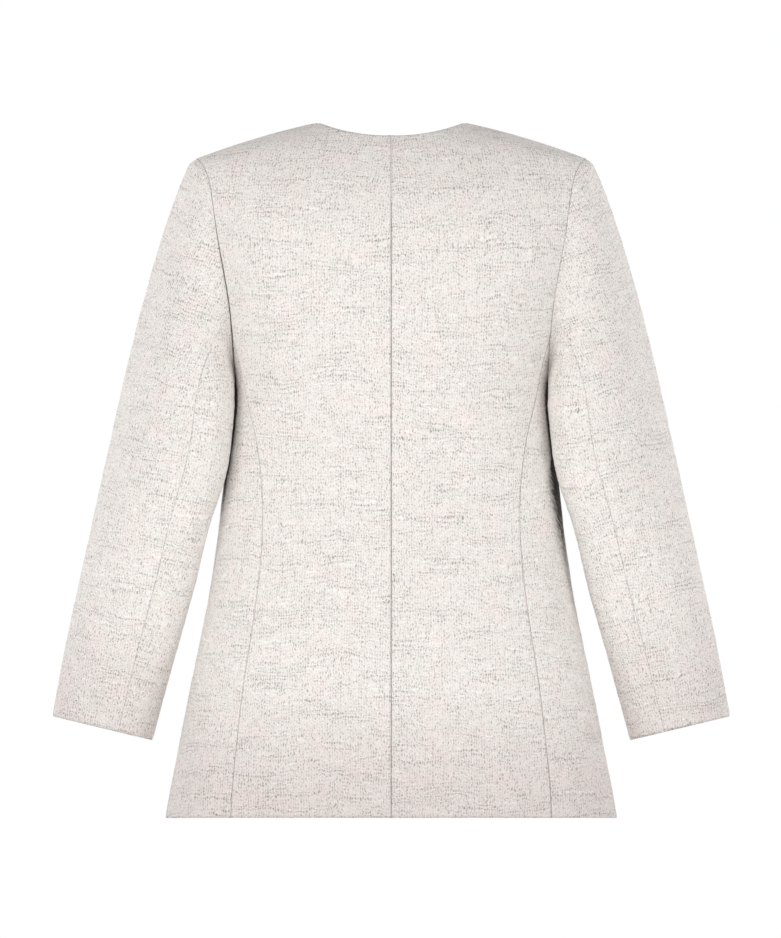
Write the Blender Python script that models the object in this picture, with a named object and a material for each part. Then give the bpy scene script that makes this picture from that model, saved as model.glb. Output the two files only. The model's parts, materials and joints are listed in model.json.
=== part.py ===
"""A woman's collarless suit jacket in thick tweed, cut in ten pieces and filled out.

Metres, +Z up. The front faces -Y and the wearer's left is +X. The origin lies
midway between the two points where the shoulder seams meet the neckline. Every
piece is a closed wall of cloth, and the pieces stand a hair apart at their seams.
"""
import math
from collections import namedtuple

import bmesh
import bpy
from mathutils import Vector

# Driving dimensions
CLOTH = 0.0020
SEAM_GAP = 0.0003
SHOULDER_WIDTH = 0.410
SHOULDER_SLOPE = 0.297
SHOULDER_BOW = 0.0026
NECK_WIDTH = 0.153
NAPE_DROP = 0.0136
BACK_LENGTH = 0.7214
FRONT_NECK_DROP = 0.085
FRONT_OVERLAP = 0.024

# Form of the shoulders, the neckline and the closing
RIDGE_HEIGHT = 0.130
ROUNDNESS = 2.3
BACK_NECK_POWER = 2.2
FRONT_NECK_POWER = 2.0
OVERLAP_LIFT = CLOTH + 0.0006
OVERLAP_REST = 0.018
OVERLAP_RAMP = 0.024

# Where the seams leave the armhole, measured down from the neck points
SLEEVE_BACK_NOTCH = 0.205
PRINCESS_TOP = 0.228
SLEEVE_FRONT_NOTCH = 0.196
UNDERARM = 0.273
SIDE_TURN = math.radians(6)

# Levels of the body, from above the neck points down to the hem
Section = namedtuple("Section", "below half_width back front")
BODY = (
    Section(-0.020, 0.2270, 0.0880, 0.0480),
    Section(0.038, 0.2245, 0.0960, 0.0560),
    Section(0.100, 0.2060, 0.1030, 0.0720),
    Section(0.170, 0.1880, 0.1070, 0.0970),
    Section(0.225, 0.1750, 0.1060, 0.1120),
    Section(0.273, 0.1665, 0.1020, 0.1180),
    Section(0.308, 0.1675, 0.0970, 0.1165),
    Section(0.345, 0.1715, 0.0910, 0.1100),
    Section(0.385, 0.1775, 0.0870, 0.1010),
    Section(0.441, 0.1837, 0.0890, 0.0945),
    Section(0.505, 0.1935, 0.0960, 0.0940),
    Section(0.589, 0.2107, 0.1040, 0.0970),
    Section(0.660, 0.2246, 0.1090, 0.1000),
    Section(0.700, 0.2325, 0.1100, 0.1010),
    Section(0.735, 0.2388, 0.1070, 0.0990),
)

# Points of the armhole and of the back princess seam, across from the centre
SeamPoint = namedtuple("SeamPoint", "below across")
BACK_ARMHOLE = (
    SeamPoint(0.0460, 0.1985),
    SeamPoint(0.0620, 0.1925),
    SeamPoint(0.0900, 0.1880),
    SeamPoint(0.1190, 0.1840),
    SeamPoint(0.1530, 0.1780),
    SeamPoint(0.1880, 0.1720),
    SeamPoint(0.2250, 0.1680),
    SeamPoint(0.2520, 0.1663),
)
FRONT_ARMHOLE = (
    SeamPoint(0.0480, 0.1965),
    SeamPoint(0.0700, 0.1870),
    SeamPoint(0.1050, 0.1750),
    SeamPoint(0.1450, 0.1650),
    SeamPoint(0.1880, 0.1590),
    SeamPoint(0.2220, 0.1580),
    SeamPoint(0.2520, 0.1612),
)
PRINCESS = (
    SeamPoint(0.2500, 0.1615),
    SeamPoint(0.2840, 0.1550),
    SeamPoint(0.3190, 0.1463),
    SeamPoint(0.3590, 0.1394),
    SeamPoint(0.3990, 0.1362),
    SeamPoint(0.4370, 0.1364),
    SeamPoint(0.4860, 0.1404),
    SeamPoint(0.5470, 0.1489),
    SeamPoint(0.5920, 0.1560),
    SeamPoint(0.6480, 0.1626),
    SeamPoint(0.7020, 0.1679),
    SeamPoint(0.7350, 0.1697),
)

# Stations of the sleeve from the upper arm to the cuff, read at its two edges
Station = namedtuple("Station", "run outer outer_below inner inner_below centre swing half_depth")
SLEEVE = (
    Station(0.000, 0.2822, 0.272, 0.1655, 0.300, 0.005, 0.027, 0.0590),
    Station(0.065, 0.2965, 0.336, 0.1728, 0.365, 0.010, 0.025, 0.0540),
    Station(0.130, 0.3105, 0.399, 0.1920, 0.428, 0.007, 0.020, 0.0480),
    Station(0.195, 0.3242, 0.462, 0.2074, 0.491, 0.000, 0.014, 0.0425),
    Station(0.282, 0.3428, 0.547, 0.2312, 0.575, -0.012, 0.009, 0.0360),
    Station(0.362, 0.3580, 0.6275, 0.2520, 0.653, -0.028, 0.006, 0.0330),
)
SLEEVE_BACK_SEAM = math.radians(108)
SLEEVE_FRONT_SEAM = math.radians(-125)
SLEEVE_INNER = math.radians(180)
ARMHOLE_PULL = 0.18
ARMHOLE_ROLL = 0.008
SLEEVE_PULL = 1.06

# Soft folds: where each lies, how far it spreads and how deep it is
Fold = namedtuple("Fold", "turn spread starts depth")
HEM_FLUTES = (
    Fold(math.radians(62), math.radians(11), 0.46, 0.0022),
    Fold(math.radians(30), math.radians(10), 0.42, 0.0030),
    Fold(math.radians(-24), math.radians(10), 0.44, 0.0032),
    Fold(math.radians(-58), math.radians(12), 0.48, 0.0026),
)
ElbowFold = namedtuple("ElbowFold", "run reach around depth")
ELBOW_FOLDS = (
    ElbowFold(0.135, 0.0130, math.radians(-105), 0.0022),
    ElbowFold(0.172, 0.0120, math.radians(-115), 0.0028),
    ElbowFold(0.210, 0.0140, math.radians(-100), 0.0020),
)
ELBOW_FOLD_SPREAD = math.radians(50)

# Steps of the meshes along each seam
BACK_NECK_STEPS = 7
FRONT_NECK_STEPS = 11
SHOULDER_STEPS = 7
HEAD_STEPS = 9
NOTCH_STEPS = 1
BACK_UNDERARM_STEPS = 5
FRONT_UNDERARM_STEPS = 6
SIDE_STEPS = 16
CAP_STEPS = 8
ARM_STEPS = 11
FINE_STEPS = 240
EVEN_ROUNDS = 250
TURN_LENGTH = 0.15
SETTLE_ROUNDS = 5
PROBE = 1e-4
SHARP_EDGE = math.radians(40)

# Cloth colours, piece by piece
BACK_CREAM = (0.79, 0.76, 0.73, 1.0)
SIDE_CREAM = (0.77, 0.74, 0.71, 1.0)
FRONT_CREAM = (0.78, 0.75, 0.72, 1.0)
SLEEVE_CREAM = (0.77, 0.745, 0.72, 1.0)
CLOTH_ROUGHNESS = 0.92

SHOULDER_HALF = SHOULDER_WIDTH / 2
NECK_HALF = NECK_WIDTH / 2
HEM_BELOW = NAPE_DROP + BACK_LENGTH
QUARTER_REACH = RIDGE_HEIGHT * math.pi / 2
CENTRE_BACK = math.pi / 2


def smooth_value(stations, values, at):
    """Read a table at any station, by a cubic between the rows beside it."""
    last = len(stations) - 1
    row = 0
    while row < last - 1 and at > stations[row + 1]:
        row += 1

    def slope(index):
        before = max(index - 1, 0)
        after = min(index + 1, last)
        return (values[after] - values[before]) / (stations[after] - stations[before])

    width = stations[row + 1] - stations[row]
    part = (at - stations[row]) / width
    square = part * part
    cube = square * part
    start = (2 * cube - 3 * square + 1) * values[row]
    start += (cube - 2 * square + part) * width * slope(row)
    end = (3 * square - 2 * cube) * values[row + 1]
    end += (cube - square) * width * slope(row + 1)
    return start + end


def table_reader(rows, key, field):
    """Make a function that reads one column of a table at any key."""
    stations = [getattr(row, key) for row in rows]
    values = [getattr(row, field) for row in rows]
    return lambda at: smooth_value(stations, values, at)


body_half_width = table_reader(BODY, "below", "half_width")
body_back = table_reader(BODY, "below", "back")
body_front = table_reader(BODY, "below", "front")


def rounded(value):
    """Swell a sine or cosine so that the body's section is fuller than an ellipse."""
    return math.copysign(abs(value) ** (2 / ROUNDNESS), value)


def smooth_step(share):
    """Ease from 0 to 1."""
    share = min(max(share, 0.0), 1.0)
    return share * share * (3 - 2 * share)


def ridge_height(across):
    """Height of the shoulder line above the neck points, at a distance from the centre."""
    across = abs(across)
    if across < NECK_HALF:
        slope = SHOULDER_SLOPE - 4 * SHOULDER_BOW / (SHOULDER_HALF - NECK_HALF)
        return slope * (NECK_HALF ** 2 - across ** 2) / (2 * NECK_HALF)
    share = (across - NECK_HALF) / (SHOULDER_HALF - NECK_HALF)
    return SHOULDER_BOW * 4 * share * (1 - share) - SHOULDER_SLOPE * (across - NECK_HALF)


def drop_at(reach):
    """Depth below the shoulder line after going a distance over its round edge."""
    if reach < QUARTER_REACH:
        return RIDGE_HEIGHT * (1 - math.cos(reach / RIDGE_HEIGHT))
    return RIDGE_HEIGHT + reach - QUARTER_REACH


def reach_at(drop):
    """The distance over the round edge that lies at a depth below the shoulder line."""
    if drop < RIDGE_HEIGHT:
        return RIDGE_HEIGHT * math.acos(1 - max(drop, 0.0) / RIDGE_HEIGHT)
    return drop - RIDGE_HEIGHT + QUARTER_REACH


def hem_flute(turn, below):
    """How far the soft flutes of the flared skirt stand out."""
    lift = 0.0
    for fold in HEM_FLUTES:
        grow = smooth_step((below - fold.starts) / (HEM_BELOW - fold.starts))
        lift += fold.depth * grow * math.exp(-((turn - fold.turn) / fold.spread) ** 2)
    return lift


def body_point(turn, reach):
    """Point of the outer skin on the left half of the body.

    turn is 0 at the side, a quarter turn at the centre back and minus that at the
    centre front. reach is the way down from the shoulder line, over its round edge.
    """
    drop = drop_at(reach)
    bend = math.sin(min(reach / RIDGE_HEIGHT, math.pi / 2))
    below = drop
    for _ in range(SETTLE_ROUNDS):
        across = body_half_width(below) * rounded(math.cos(turn))
        below = drop - ridge_height(across)
    depth = body_back(below) if turn > 0 else body_front(below)
    depth += hem_flute(turn, below)
    along = depth * rounded(math.sin(turn)) * bend
    return Vector((across, along, -below))


def body_normal(turn, reach):
    """Outward direction of the skin at a place."""
    around = body_point(turn + PROBE, reach) - body_point(turn - PROBE, reach)
    down = body_point(turn, reach + PROBE) - body_point(turn, reach - PROBE)
    return down.cross(around).normalized()


def body_place(across, below, back=True):
    """Turn and reach of the point at a distance from the centre and below the neck."""
    share = min(abs(across) / body_half_width(below), 1.0)
    turn = math.acos(share ** (ROUNDNESS / 2))
    if across < 0:
        turn = math.pi - turn
    reach = reach_at(below + ridge_height(across))
    return (turn if back else -turn, reach)


def lengths_along(places):
    """Length of the skin from the first place to each place of a line."""
    points = [body_point(*place) for place in places]
    lengths = [0.0]
    for before, after in zip(points, points[1:]):
        lengths.append(lengths[-1] + (after - before).length)
    return lengths


def places_at(places, shares):
    """Places that lie at given shares of a line's length."""
    lengths = lengths_along(places)
    found = []
    row = 0
    for share in shares:
        target = share * lengths[-1]
        while row < len(places) - 2 and lengths[row + 1] < target:
            row += 1
        part = (target - lengths[row]) / (lengths[row + 1] - lengths[row])
        part = min(max(part, 0.0), 1.0)
        before, after = places[row], places[row + 1]
        found.append(tuple(a + (b - a) * part for a, b in zip(before, after)))
    return found


def even_shares(steps):
    """Evenly spaced shares from 0 to 1."""
    return [step / steps for step in range(steps + 1)]


def join_lines(*lines):
    """Join lines end to end, with each shared end once."""
    joined = list(lines[0])
    for line in lines[1:]:
        joined.extend(line[1:])
    return joined


def shares_of(places):
    """Share of a line's length at each of its places."""
    lengths = lengths_along(places)
    return [length / lengths[-1] for length in lengths]


def back_neck_below(across):
    """Depth of the back neckline below the neck points."""
    return NAPE_DROP * (1 - (abs(across) / NECK_HALF) ** BACK_NECK_POWER)


def front_neck_below(across):
    """Depth of the round front neckline below the neck points."""
    share = min(abs(across) / NECK_HALF, 1.0) ** FRONT_NECK_POWER
    return FRONT_NECK_DROP * (1 - share) ** (1 / FRONT_NECK_POWER)


def neckline(back):
    """Neckline of one half, from the centre or the overlap's edge to the neck point."""
    start = 0.0 if back else -FRONT_OVERLAP / 2
    below_at = back_neck_below if back else front_neck_below
    places = []
    for share in even_shares(FINE_STEPS):
        eased = 1 - (1 - share) ** 2
        across = start + (NECK_HALF - start) * eased
        places.append(body_place(across, below_at(across), back))
    return places


def shoulder_seam(back):
    """Shoulder seam from the neck point to the armhole."""
    places = []
    for share in even_shares(FINE_STEPS):
        across = NECK_HALF + (SHOULDER_HALF - NECK_HALF) * share
        places.append(body_place(across, -ridge_height(across), back))
    return places


def level_place(turn, below):
    """Turn and reach of the point at a turn and a depth below the neck points."""
    across = body_half_width(below) * rounded(math.cos(turn))
    return (turn, reach_at(below + ridge_height(across)))


def hem_line(start_turn, end_turn):
    """Hem between two turns."""
    return [level_place(start_turn + (end_turn - start_turn) * share, HEM_BELOW)
            for share in even_shares(FINE_STEPS)]


def turn_line(start, end):
    """Seam that runs evenly from one place to another."""
    return [tuple(a + (b - a) * share for a, b in zip(start, end))
            for share in even_shares(FINE_STEPS)]


def centre_line(across, top_below, back):
    """Edge that falls straight to the hem at a distance from the centre."""
    return [body_place(across, top_below + (HEM_BELOW - top_below) * share, back)
            for share in even_shares(FINE_STEPS)]


def armhole_line():
    """Whole armhole, from the shoulder down the back, under the arm and up the front."""
    top = SeamPoint(-ridge_height(SHOULDER_HALF), SHOULDER_HALF)
    corners = []
    for row in (top, *BACK_ARMHOLE):
        corners.append((body_place(row.across, row.below, True)[0], row.below))
    corners.append((SIDE_TURN, UNDERARM))
    for row in reversed((top, *FRONT_ARMHOLE)):
        corners.append((body_place(row.across, row.below, False)[0], row.below))
    steps = [0.0]
    for before, after in zip(corners, corners[1:]):
        sideways = (after[0] - before[0]) * body_half_width(UNDERARM)
        steps.append(steps[-1] + math.hypot(sideways, after[1] - before[1]))
    turns = [corner[0] for corner in corners]
    belows = [corner[1] for corner in corners]
    places = []
    for share in even_shares(4 * FINE_STEPS):
        at = share * steps[-1]
        places.append(level_place(smooth_value(steps, turns, at), smooth_value(steps, belows, at)))
    return places


def cut_armhole():
    """The armhole in five stretches, between the seams that run into it."""
    places = armhole_line()
    belows = [-body_point(*place).z for place in places]
    lowest = min(range(len(places)), key=lambda index: abs(places[index][0] - SIDE_TURN))

    def first_past(below, start, stop, step):
        index = start
        while belows[index] < below and index != stop:
            index += step
        return index

    end = len(places) - 1
    back_notch = first_past(SLEEVE_BACK_NOTCH, 0, lowest, 1)
    princess_top = first_past(PRINCESS_TOP, 0, lowest, 1)
    front_notch = first_past(SLEEVE_FRONT_NOTCH, end, lowest, -1)
    cuts = ((0, back_notch, HEAD_STEPS), (back_notch, princess_top, NOTCH_STEPS),
            (princess_top, lowest, BACK_UNDERARM_STEPS),
            (lowest, front_notch, FRONT_UNDERARM_STEPS), (front_notch, end, HEAD_STEPS))
    return [places_at(places[first:last + 1], even_shares(steps)) for first, last, steps in cuts]


def princess_seam(top_place):
    """Back princess seam, from the armhole to the hem."""
    stations = [PRINCESS_TOP] + [row.below for row in PRINCESS]
    acrosses = [body_point(*top_place).x] + [row.across for row in PRINCESS]
    places = [top_place]
    for share in even_shares(FINE_STEPS)[1:]:
        below = PRINCESS_TOP + (HEM_BELOW - PRINCESS_TOP) * share
        across = smooth_value(stations, acrosses, min(below, stations[-1]))
        places.append(body_place(across, below, True))
    return places


def fill_grid(top, bottom, inner, outer):
    """Places of a whole panel, blended from its four edges. Rows run from the top down."""
    top_shares, bottom_shares = shares_of(top), shares_of(bottom)
    inner_shares, outer_shares = shares_of(inner), shares_of(outer)
    rows = []
    for j in range(len(inner)):
        row = []
        for i in range(len(top)):
            u = top_shares[i]
            v = inner_shares[j] * (1 - u) + outer_shares[j] * u
            u = top_shares[i] * (1 - v) + bottom_shares[i] * v
            place = []
            for axis in (0, 1):
                sides = (1 - u) * inner[j][axis] + u * outer[j][axis]
                ends = (1 - v) * top[i][axis] + v * bottom[i][axis]
                upper = (1 - u) * top[0][axis] + u * top[-1][axis]
                lower = (1 - u) * bottom[0][axis] + u * bottom[-1][axis]
                place.append(sides + ends - (1 - v) * upper - v * lower)
            row.append(tuple(place))
        rows.append(row)
    return rows


def evened(above, row, under, i):
    """Where a place of a grid lies evenly between the eight places around it."""
    along = [(row[i + 1][axis] - row[i - 1][axis]) / 2 for axis in (0, 1)]
    down = [(under[i][axis] - above[i][axis]) / 2 for axis in (0, 1)]
    wide = along[0] ** 2 + along[1] ** 2
    tall = down[0] ** 2 + down[1] ** 2
    slant = along[0] * down[0] + along[1] * down[1]
    place = []
    for axis in (0, 1):
        across = row[i + 1][axis] + row[i - 1][axis]
        upright = under[i][axis] + above[i][axis]
        corners = under[i + 1][axis] - above[i + 1][axis] - under[i - 1][axis] + above[i - 1][axis]
        place.append((tall * across + wide * upright - slant * corners / 2) / (tall + wide) / 2)
    return tuple(place)


def even_out(rows):
    """Grid of a panel with its inner places moved so that no part of it folds over."""
    grid = [[(turn * TURN_LENGTH, reach) for turn, reach in row] for row in rows]
    for _ in range(EVEN_ROUNDS):
        for above, row, under in zip(grid, grid[1:], grid[2:]):
            for i in range(1, len(row) - 1):
                row[i] = evened(above, row, under, i)
    return [[(length / TURN_LENGTH, reach) for length, reach in row] for row in grid]


def skin_of(places, lift=None):
    """Points and outward directions of a panel, raised where lift says."""
    points, normals = [], []
    for row in places:
        row_normals = [body_normal(*place) for place in row]
        row_points = [body_point(*place) for place in row]
        if lift:
            row_points = [point + normal * lift(point.x)
                          for point, normal in zip(row_points, row_normals)]
        points.append(row_points)
        normals.append(row_normals)
    return points, normals


def overlap_lift(across):
    """Height of the upper front over the lower one, near the closing."""
    past_edge = across - FRONT_OVERLAP / 2 - OVERLAP_REST
    return OVERLAP_LIFT * smooth_step(1 - past_edge / OVERLAP_RAMP)


def draw_in_edges(points, normals):
    """Pull the border of a panel in by half of the seam gap."""
    last_row, last_column = len(points) - 1, len(points[0]) - 1
    moved = [list(row) for row in points]

    def pull(j, i, before, after, inside):
        tangent = (after - before).normalized()
        inward = normals[j][i].cross(tangent)
        if inward.dot(inside - points[j][i]) < 0:
            inward.negate()
        moved[j][i] = moved[j][i] + inward * (SEAM_GAP / 2)

    for j in range(last_row + 1):
        above, under = max(j - 1, 0), min(j + 1, last_row)
        for i, beside in ((0, 1), (last_column, last_column - 1)):
            pull(j, i, points[above][i], points[under][i], points[j][beside])
    for i in range(last_column + 1):
        left, right = max(i - 1, 0), min(i + 1, last_column)
        for j, beside in ((0, 1), (last_row, last_row - 1)):
            pull(j, i, points[j][left], points[j][right], points[beside][i])
    return moved


def cloth_material(name, colour):
    """Plain matt cloth for one piece."""
    material = bpy.data.materials.new(name + "_cloth")
    material.use_nodes = True
    shader = material.node_tree.nodes["Principled BSDF"]
    shader.inputs["Base Color"].default_value = colour
    shader.inputs["Roughness"].default_value = CLOTH_ROUGHNESS
    shader.inputs["Metallic"].default_value = 0.0
    material.diffuse_color = colour
    return material


def make_wall(name, points, normals, side, colour):
    """One piece of cloth: a grid laid on the skin, extruded inwards into a wall."""
    points = draw_in_edges(points, normals)
    rows, columns = len(points) - 1, len(points[0]) - 1
    mirror = Vector((side, 1, 1))
    mesh = bmesh.new()
    bmesh.ops.create_grid(mesh, x_segments=columns, y_segments=rows, size=1.0)
    inwards = {}
    for vert in mesh.verts:
        i = round((vert.co.x + 1) / 2 * columns)
        j = round((1 - vert.co.y) / 2 * rows)
        vert.co = points[j][i] * mirror
        inwards[tuple(vert.co)] = normals[j][i] * mirror * -CLOTH
    extruded = bmesh.ops.extrude_face_region(mesh, geom=mesh.faces[:], use_keep_orig=True)
    for item in extruded["geom"]:
        if isinstance(item, bmesh.types.BMVert):
            item.co += inwards[tuple(item.co)]
    bmesh.ops.recalc_face_normals(mesh, faces=mesh.faces[:])
    data = bpy.data.meshes.new(name)
    mesh.to_mesh(data)
    mesh.free()
    data.shade_smooth()
    data.set_sharp_from_angle(angle=SHARP_EDGE)
    data.materials.append(cloth_material(name, colour))
    piece = bpy.data.objects.new(name, data)
    bpy.context.collection.objects.link(piece)
    return piece


def body_panels(armhole):
    """Grids of places of the back, the side back and the two fronts."""
    head, notch, back_underarm, front_underarm, front_head = armhole
    princess = places_at(princess_seam(notch[-1]), even_shares(SIDE_STEPS))
    side_hem = level_place(SIDE_TURN, HEM_BELOW)
    side = places_at(turn_line(back_underarm[-1], side_hem), even_shares(SIDE_STEPS))

    back_top = join_lines(places_at(neckline(True), even_shares(BACK_NECK_STEPS)),
                          places_at(shoulder_seam(True), even_shares(SHOULDER_STEPS)))
    back_outer = join_lines(head, notch, princess)
    back_inner = places_at(centre_line(0.0, NAPE_DROP, True), shares_of(back_outer))
    back_hem = places_at(hem_line(CENTRE_BACK, princess[-1][0]), shares_of(back_top))

    side_back_hem = places_at(hem_line(princess[-1][0], SIDE_TURN),
                              even_shares(BACK_UNDERARM_STEPS))

    front_edge = -FRONT_OVERLAP / 2
    front_top = join_lines(places_at(neckline(False), even_shares(FRONT_NECK_STEPS)),
                           places_at(shoulder_seam(False), even_shares(SHOULDER_STEPS)))
    front_outer = join_lines(front_head[::-1], front_underarm[::-1], side)
    front_inner = places_at(centre_line(front_edge, front_neck_below(front_edge), False),
                            shares_of(front_outer))
    front_hem = places_at(hem_line(front_inner[-1][0], SIDE_TURN), shares_of(front_top))

    return {
        "back": even_out(fill_grid(back_top, back_hem, back_inner, back_outer)),
        "side_back": fill_grid(back_underarm, side_back_hem, princess, side),
        "front": even_out(fill_grid(front_top, front_hem, front_inner, front_outer)),
    }


sleeve_columns = {field: table_reader(SLEEVE, "run", field) for field in Station._fields[1:]}


def elbow_fold(around, run):
    """Depth of the soft folds inside the elbow."""
    depth = 0.0
    for fold in ELBOW_FOLDS:
        near = math.exp(-((run - fold.run) / fold.reach) ** 2)
        swing = (around - fold.around + math.pi) % (2 * math.pi) - math.pi
        depth += fold.depth * near * math.exp(-(swing / ELBOW_FOLD_SPREAD) ** 2)
    return depth


def sleeve_point(around, run):
    """Point of the sleeve below the upper arm.

    around is 0 outside and a quarter turn at the back.
    """
    at = {field: read(run) for field, read in sleeve_columns.items()}
    outer = Vector((at["outer"], at["centre"] - at["swing"], -at["outer_below"]))
    inner = Vector((at["inner"], at["centre"] + at["swing"], -at["inner_below"]))
    middle = (outer + inner) / 2
    depth = at["half_depth"]
    swell = 1 - elbow_fold(around, run) / depth
    sideways = (outer - middle) * math.cos(around)
    return middle + (sideways + Vector((0, depth * math.sin(around), 0))) * swell


def ring_angles(armhole):
    """Armhole points in order round the sleeve, each with its angle on the sleeve."""
    head, notch, back_underarm, front_underarm, front_head = armhole
    stretches = (
        (front_head, SLEEVE_FRONT_SEAM, 0.0),
        (head, 0.0, SLEEVE_BACK_SEAM),
        (join_lines(notch, back_underarm), SLEEVE_BACK_SEAM, SLEEVE_INNER),
        (front_underarm, SLEEVE_INNER, 2 * math.pi + SLEEVE_FRONT_SEAM),
    )
    ring = []
    for places, start, end in stretches:
        points = [body_point(*place) for place in places]
        for point, share in zip(points[:-1], shares_of(places)[:-1]):
            ring.append((point, start + (end - start) * share))
    return ring


def cap_point(start, around, share, outwards):
    """Point of the sleeve's cap, on a curve from the armhole to the upper arm."""
    end = sleeve_point(around, 0.0)
    downwards = (sleeve_point(around, PROBE) - end).normalized()
    span = (end - start).length
    square, cube = share ** 2, share ** 3
    point = start * (2 * cube - 3 * square + 1) + end * (3 * square - 2 * cube)
    point += outwards * (cube - 2 * square + share) * (ARMHOLE_PULL * span + ARMHOLE_ROLL)
    point += downwards * (cube - square) * SLEEVE_PULL * span
    return point


def sleeve_skin(armhole):
    """Rings of the whole sleeve from the armhole to the cuff, with outward directions."""
    ring = ring_angles(armhole)
    count = len(ring)
    highest = max(ring, key=lambda item: item[0].z)[0]
    lowest = min(ring, key=lambda item: item[0].z)[0]
    rearmost = max(ring, key=lambda item: item[0].y)[0]
    foremost = min(ring, key=lambda item: item[0].y)[0]
    outwards = (lowest - highest).cross(foremost - rearmost).normalized()
    if outwards.x < 0:
        outwards.negate()
    rows = []
    for share in even_shares(CAP_STEPS):
        rows.append([cap_point(start, around, share, outwards) for start, around in ring])
    last_run = SLEEVE[-1].run
    for share in even_shares(ARM_STEPS)[1:]:
        rows.append([sleeve_point(around, share * last_run) for _, around in ring])
    normals = []
    for j, row in enumerate(rows):
        above, under = rows[max(j - 1, 0)], rows[min(j + 1, len(rows) - 1)]
        normals.append([])
        for i in range(count):
            sideways = row[(i + 1) % count] - row[i - 1]
            down = outwards if j == 0 else under[i] - above[i]
            normals[-1].append(down.cross(sideways).normalized())
    return rows, normals


def take_columns(rows, first, last):
    """Columns of a closed ring grid from first to last, past the joint if need be."""
    count = len(rows[0])
    return [[row[i % count] for i in range(first, last + 1)] for row in rows]


def build_jacket():
    """Make the ten pieces."""
    for item in list(bpy.data.objects):
        bpy.data.objects.remove(item)
    armhole = cut_armhole()
    panels = body_panels(armhole)
    sleeve, sleeve_normals = sleeve_skin(armhole)
    seam = 2 * HEAD_STEPS
    around = len(sleeve[0])
    for side, hand in ((1, "left"), (-1, "right")):
        lift = overlap_lift if hand == "right" else None
        make_wall("back_" + hand, *skin_of(panels["back"]), side, BACK_CREAM)
        make_wall("side_back_" + hand, *skin_of(panels["side_back"]), side, SIDE_CREAM)
        make_wall("front_" + hand, *skin_of(panels["front"], lift), side, FRONT_CREAM)
        make_wall("top_sleeve_" + hand, take_columns(sleeve, 0, seam),
                  take_columns(sleeve_normals, 0, seam), side, SLEEVE_CREAM)
        make_wall("under_sleeve_" + hand, take_columns(sleeve, seam, around),
                  take_columns(sleeve_normals, seam, around), side, SLEEVE_CREAM)


build_jacket()
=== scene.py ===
"""Looks of a woman's collarless suit jacket in crinkled cream tweed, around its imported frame.

Metres, +Z up. The front faces -Y and the wearer's left is +X. Each of the ten cut pieces
is taken from its solid wall of cloth, unfolded into the flat shape it is cut to, smoothed
and given its relief, and then thickened again.
"""
import functools
import json
import math
from collections import Counter, namedtuple

import bmesh
import bpy
from bpy.props import FloatProperty, FloatVectorProperty, PointerProperty
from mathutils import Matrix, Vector, noise
from mathutils.bvhtree import BVHTree
from mathutils.kdtree import KDTree

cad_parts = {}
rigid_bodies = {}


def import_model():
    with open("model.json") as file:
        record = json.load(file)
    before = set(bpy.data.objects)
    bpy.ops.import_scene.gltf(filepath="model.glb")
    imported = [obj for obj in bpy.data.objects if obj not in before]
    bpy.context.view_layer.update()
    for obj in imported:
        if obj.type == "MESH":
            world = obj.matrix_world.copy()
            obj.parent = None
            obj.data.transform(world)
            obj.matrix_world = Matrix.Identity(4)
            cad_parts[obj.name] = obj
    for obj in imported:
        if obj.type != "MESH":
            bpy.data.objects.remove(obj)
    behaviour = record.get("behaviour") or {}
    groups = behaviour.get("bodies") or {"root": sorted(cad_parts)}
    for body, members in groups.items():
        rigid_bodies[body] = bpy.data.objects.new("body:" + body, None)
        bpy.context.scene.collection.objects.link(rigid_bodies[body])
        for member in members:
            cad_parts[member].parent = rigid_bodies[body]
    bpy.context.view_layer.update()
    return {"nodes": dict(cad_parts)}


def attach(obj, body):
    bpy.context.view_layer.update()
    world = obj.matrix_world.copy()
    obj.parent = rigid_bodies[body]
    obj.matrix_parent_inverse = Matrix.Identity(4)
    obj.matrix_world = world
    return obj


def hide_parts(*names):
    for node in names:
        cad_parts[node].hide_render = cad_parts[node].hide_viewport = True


bl_info = {
    "name": "Tweed suit jacket",
    "version": (1, 0, 0),
    "blender": (4, 5, 0),
    "location": "3D View > Sidebar > Jacket",
    "description": "Dresses the cut pieces of a collarless jacket in crinkled tweed",
    "category": "Object",
}

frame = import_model()

# The jacket's one body and its cloth's slot
BODY = "root"
TWEED = "crinkled_tweed"

# Each kind of piece: what it is sewn to and hangs from, and where it is cut from the cloth, in metres
Kind = namedtuple("Kind", "name sewn_to cloth_shift")
BACK = Kind("back", ("front",), 0.0)
SIDE_BACK = Kind("side_back", ("back",), 1.7)
FRONT = Kind("front", ("back",), 3.1)
TOP_SLEEVE = Kind("top_sleeve", ("back", "front"), 4.3)
UNDER_SLEEVE = Kind("under_sleeve", ("top_sleeve",), 6.2)
KINDS = (BACK, SIDE_BACK, FRONT, TOP_SLEEVE, UNDER_SLEEVE)
HANDS = ("left", "right")
RIGHT_SHIFT = 11.3

# How dark the line of a seam is above and below two heights, and how wide it is, left and right:
# on the back, beside the side back, at the armhole, under the arm, and along the sleeve
Line = namedtuple("Line", "upper lower high low width", defaults=(0.0, -0.1, 1.0))
EVEN_LINE = Line(0.35, 0.35)
# A dark seam line widened into painted shade of the crevice where the left sleeve meets the body under
# the arm
CREVICE_SHADE_LINE = Line(1.00, 1.00, width=2.8)
SEAM_LINES = {
    frozenset(("back",)): (Line(0.95, 0.95), Line(0.95, 0.95)),
    frozenset(("back", "side_back")): (Line(0.25, 0.50, -0.26, -0.34), Line(1.00, 0.65, -0.30, -0.38)),
    frozenset(("back", "top_sleeve")): (Line(0.30, 1.00, -0.10, -0.17), Line(0.35, 0.15, -0.05, -0.12)),
    frozenset(("back", "under_sleeve")): (CREVICE_SHADE_LINE, Line(0.20, 0.20)),
    frozenset(("side_back", "under_sleeve")): (CREVICE_SHADE_LINE, Line(0.20, 0.20)),
    frozenset(("top_sleeve", "under_sleeve")): (
        Line(0.0, 0.20, -0.40, -0.52), Line(0.0, 0.15, -0.33, -0.42)),
}
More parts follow.
